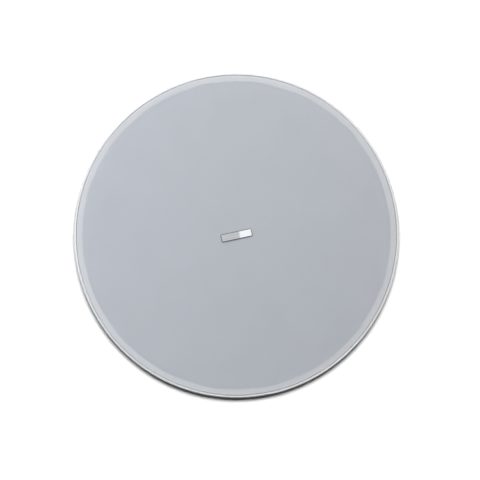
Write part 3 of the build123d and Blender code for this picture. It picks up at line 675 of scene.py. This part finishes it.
def screw_form(head_radius, head_height, shank_radius, length, threaded):
    """Points and faces of a pan-head screw with a cross recess, its axis along +Z and its seat at 0."""
    points = []
    rows = screw_rows(head_radius, head_height, shank_radius, length, threaded)
    for radius, height, share in rows:
        for k in range(screw_segments):
            angle = tau * k / screw_segments
            phase = (height / thread_pitch - k / screw_segments) % 1.0
            cut = thread_depth * share * (1.0 - abs(2.0 * phase - 1.0))
            x, y = (radius - cut) * cos(angle), (radius - cut) * sin(angle)
            pit = 0.0
            if height > head_height * shoulder_share:
                pit = cross_depth(x, y, head_radius * cross_reach, head_height * cross_sink)
            points.append((x, y, height - pit))
    return points, ring_faces(len(rows), screw_segments)


def solid_centres(node):
    """Middle of each separate solid of a node, in the plane of the ceiling."""
    work = bmesh.new()
    work.from_mesh(nodes[node].data)
    bmesh.ops.remove_doubles(work, verts=work.verts, dist=weld_distance)
    left = set(work.verts)
    centres = []
    while left:
        stack = [left.pop()]
        found = []
        while stack:
            vert = stack.pop()
            found.append(vert.co.copy())
            for edge in vert.link_edges:
                other = edge.other_vert(vert)
                if other in left:
                    left.remove(other)
                    stack.append(other)
        xs, ys = [p.x for p in found], [p.y for p in found]
        centres.append(((min(xs) + max(xs)) / 2, (min(ys) + max(ys)) / 2))
    work.free()
    return sorted(centres)


def screw_set(name, node, sizes, up, threaded=False):
    """One piece with a screw for each solid of a node, their heads pointing up (+1) or down (-1)."""
    low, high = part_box(node)
    head_height = sizes[1]
    seat = high.z - head_height if up > 0 else low.z + head_height
    form, form_faces = screw_form(*sizes, high.z - low.z - head_height, threaded)
    points, faces = [], []
    for middle_x, middle_y in solid_centres(node):
        start = len(points)
        points += [(middle_x + x, middle_y + up * y, seat + up * z) for x, y, z in form]
        faces += [tuple(start + k for k in f) for f in form_faces]
    add_piece(name, weld(mesh_of(name, points, faces)), node, body_of(node))


def make_screws():
    for node, up in (("woofer_screws", -1), ("bridge_screws", -1), ("board_screws", 1)):
        screw_set(f"{node}_cross", node, small_screw, up)
    for number in range(1, 5):
        node = f"clamp_screw_{number}"
        screw_set(f"{node}_threaded", node, clamp_screw, -1, threaded=True)


def wound_coil(name, node):
    """Winding whose outside shows its single turns."""
    low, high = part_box(node)
    outer = (high.x - low.x) / 2
    middle = ((low.x + high.x) / 2, (low.y + high.y) / 2)
    turns = round((high.z - low.z) / coil_wire)
    pitch = (high.z - low.z) / turns
    section = [(coil_core_radius, low.z)]
    for k in range(turns * wire_steps + 1):
        bulge = abs(sin(pi * k / wire_steps))
        section.append((outer - pitch / 2 * (1 - bulge), low.z + pitch * k / wire_steps))
    section.append((coil_core_radius, high.z))
    points = round_points(section, coil_segments, middle)
    mesh = mesh_of(name, points, ring_faces(len(section), coil_segments, closed=True))
    add_piece(name, mesh, node, body_of(node))


def flexible_ring(name, node):
    """Ring between the frame and the cone: a copy of its node's mesh, given no body here."""
    piece = add_piece(name, nodes[node].data.copy(), node, None)
    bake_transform(piece)


def in_picture(right, up, out):
    """Place given by how far it lies right, up and towards the camera, from the origin."""
    return image_right * right + image_up * up + to_camera * out


def area_light(name, place, size, power, colour=(1.0, 1.0, 1.0)):
    """Soft round light that looks at the middle of the speaker."""
    data = bpy.data.lights.new(name, "AREA")
    data.shape = "DISK"
    data.size = size
    data.energy = power
    data.color = colour
    lamp = bpy.data.objects.new(name, data)
    bpy.context.scene.collection.objects.link(lamp)
    lamp.location = place
    lamp.visible_camera = False
    lamp.rotation_mode = "QUATERNION"
    lamp.rotation_quaternion = (-place).to_track_quat("-Z", "Y")
    return lamp


def light_only(lamp, things):
    """Limits a light to some of the objects."""
    group = bpy.data.collections.new(f"{lamp.name}_receivers")
    for thing in things:
        group.objects.link(thing)
    lamp.light_linking.receiver_collection = group


def ceiling_wash(ceiling):
    """Oval light square to the ceiling, whose shadow lies below the bezel in the picture."""
    place = in_picture(right=0.06, up=1.80, out=3.5)
    wash = area_light("ceiling_wash", place, size=2.7, power=735.0)
    wash.data.shape = "ELLIPSE"
    wash.data.size_y = 2.15
    wash.matrix_world = Matrix.Translation(place) @ picture_axes
    light_only(wash, [ceiling])


def make_lights(speaker, ceiling):
    """A soft key from the top of the picture, a wash on the ceiling, a cool fill and the back lights."""
    key_place = in_picture(right=0.0, up=1.3, out=1.75)
    light_only(area_light("front_key", key_place, size=0.8, power=38.5), speaker)
    ceiling_wash(ceiling)
    fill_place = in_picture(right=-0.62, up=0.06, out=0.72)
    fill = area_light("front_fill", fill_place, size=0.5, power=3.75, colour=(0.84, 0.90, 1.0))
    light_only(fill, speaker)
    for number, (bearing, power) in enumerate(back_lights):
        turn = radians(bearing)
        place = Vector((back_light_reach * cos(turn), back_light_reach * sin(turn), back_light_height))
        area_light(f"back_light_{number}", place, size=0.9, power=power)


def make_world():
    """Pale all round where the camera sees it, brighter overhead in reflections, and dim as a light."""
    world = bpy.data.worlds.new("studio")
    bpy.context.scene.world = world
    world.use_nodes = True
    tree = world.node_tree
    tree.nodes.clear()
    add, link = tree.nodes.new, tree.links.new
    height = add("ShaderNodeSeparateXYZ")
    link(add("ShaderNodeTexCoord").outputs["Generated"], height.inputs[0])
    glow = add("ShaderNodeMapRange")
    for key, value in zip(("From Min", "From Max", "To Min", "To Max"), sky_heights + sky_mirrored):
        glow.inputs[key].default_value = value
    link(height.outputs["Z"], glow.inputs["Value"])
    lit, mirrored, shown = (add("ShaderNodeBackground") for _ in range(3))
    for shade in (lit, mirrored, shown):
        shade.inputs["Color"].default_value = (1.0, 1.0, 1.0, 1.0)
    lit.inputs["Strength"].default_value = sky_light
    link(glow.outputs[0], mirrored.inputs["Strength"])
    shown.inputs["Strength"].default_value = sky_shown
    path = add("ShaderNodeLightPath")
    result = lit
    for ray, shade in (("Is Glossy Ray", mirrored), ("Is Camera Ray", shown)):
        mix = add("ShaderNodeMixShader")
        link(path.outputs[ray], mix.inputs[0])
        link(result.outputs[0], mix.inputs[1])
        link(shade.outputs[0], mix.inputs[2])
        result = mix
    link(result.outputs[0], add("ShaderNodeOutputWorld").inputs[0])


def add_stage(name, mesh, material):
    """Adds a thing that isn't part of the speaker and throws no light, shadow or reflection on it."""
    thing = bpy.data.objects.new(name, mesh)
    thing.data.materials.append(material)
    bpy.context.scene.collection.objects.link(thing)
    thing.visible_diffuse = False
    thing.visible_glossy = False
    thing.visible_shadow = False
    return thing


def make_floor():
    """Pale floor far below."""
    look = Look("floor_pale", Emission_Strength=1.0, Specular_IOR_Level=0.0, Base_Color=(0.0, 0.0, 0.0, 1.0))
    look.feed("Emission Color", look.blend(look.noise(scale=3.0), (0.88, 0.88, 0.88), (0.90, 0.90, 0.90)))
    signs = ((-1, -1), (1, -1), (1, 1), (-1, 1))
    corners = [(x * floor_reach, y * floor_reach, floor_height) for x, y in signs]
    add_stage("floor", mesh_of("floor", corners, [(0, 1, 2, 3)], smooth=False), look.material)


def make_ceiling():
    """Ceiling round the speaker, which shows from the room side only."""
    look = bpy.data.materials.new("ceiling_pale")
    look.use_nodes = True
    tree = look.node_tree
    tree.nodes.clear()
    matt = tree.nodes.new("ShaderNodeBsdfDiffuse")
    matt.inputs["Color"].default_value = (0.3, 0.3, 0.3, 1.0)
    clear = tree.nodes.new("ShaderNodeBsdfTransparent")
    side = tree.nodes.new("ShaderNodeNewGeometry")
    mix = tree.nodes.new("ShaderNodeMixShader")
    output = tree.nodes.new("ShaderNodeOutputMaterial")
    tree.links.new(side.outputs["Backfacing"], mix.inputs[0])
    tree.links.new(matt.outputs[0], mix.inputs[1])
    tree.links.new(clear.outputs[0], mix.inputs[2])
    tree.links.new(mix.outputs[0], output.inputs[0])
    section = ((cad_box[1].x + ceiling_gap, 0.0), (ceiling_reach, 0.0))
    points = round_points(section, ceiling_segments)
    mesh = mesh_of("ceiling", points, ring_faces(len(section), ceiling_segments), smooth=False)
    return add_stage("ceiling", mesh, look)


def make_camera():
    """Camera under the ceiling, square to the grille and turned so that the badge slopes as pictured."""
    data = bpy.data.cameras.new("camera")
    data.lens = lens_mm
    data.sensor_width = sensor_mm
    camera = bpy.data.objects.new("camera", data)
    bpy.context.scene.collection.objects.link(camera)
    distance = image_px * metres_per_px * lens_mm / sensor_mm
    aside = (image_px / 2 - disc_px[0]) * metres_per_px
    above = (disc_px[1] - image_px / 2) * metres_per_px
    place = in_picture(aside, above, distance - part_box("frame")[0].z)
    camera.matrix_world = Matrix.Translation(place) @ picture_axes
    bpy.context.scene.camera = camera


looks = make_looks()
for node, piece in nodes.items():
    dress(piece, slot_of(node))
add_piece("grille_sheet", perforated_sheet("grille_sheet"), "grille", body_of("grille"))
make_screws()
wound_coil("inductor_turns", "inductor_winding")
flexible_ring("surround_roll", "surround")
flexible_ring("spider_disc", "spider")
speaker_pieces = [thing for thing in bpy.context.scene.objects if thing.type == "MESH"]
make_world()
make_floor()
make_lights(speaker_pieces, make_ceiling())
make_camera()
bpy.context.scene.view_settings.view_transform = "Standard"
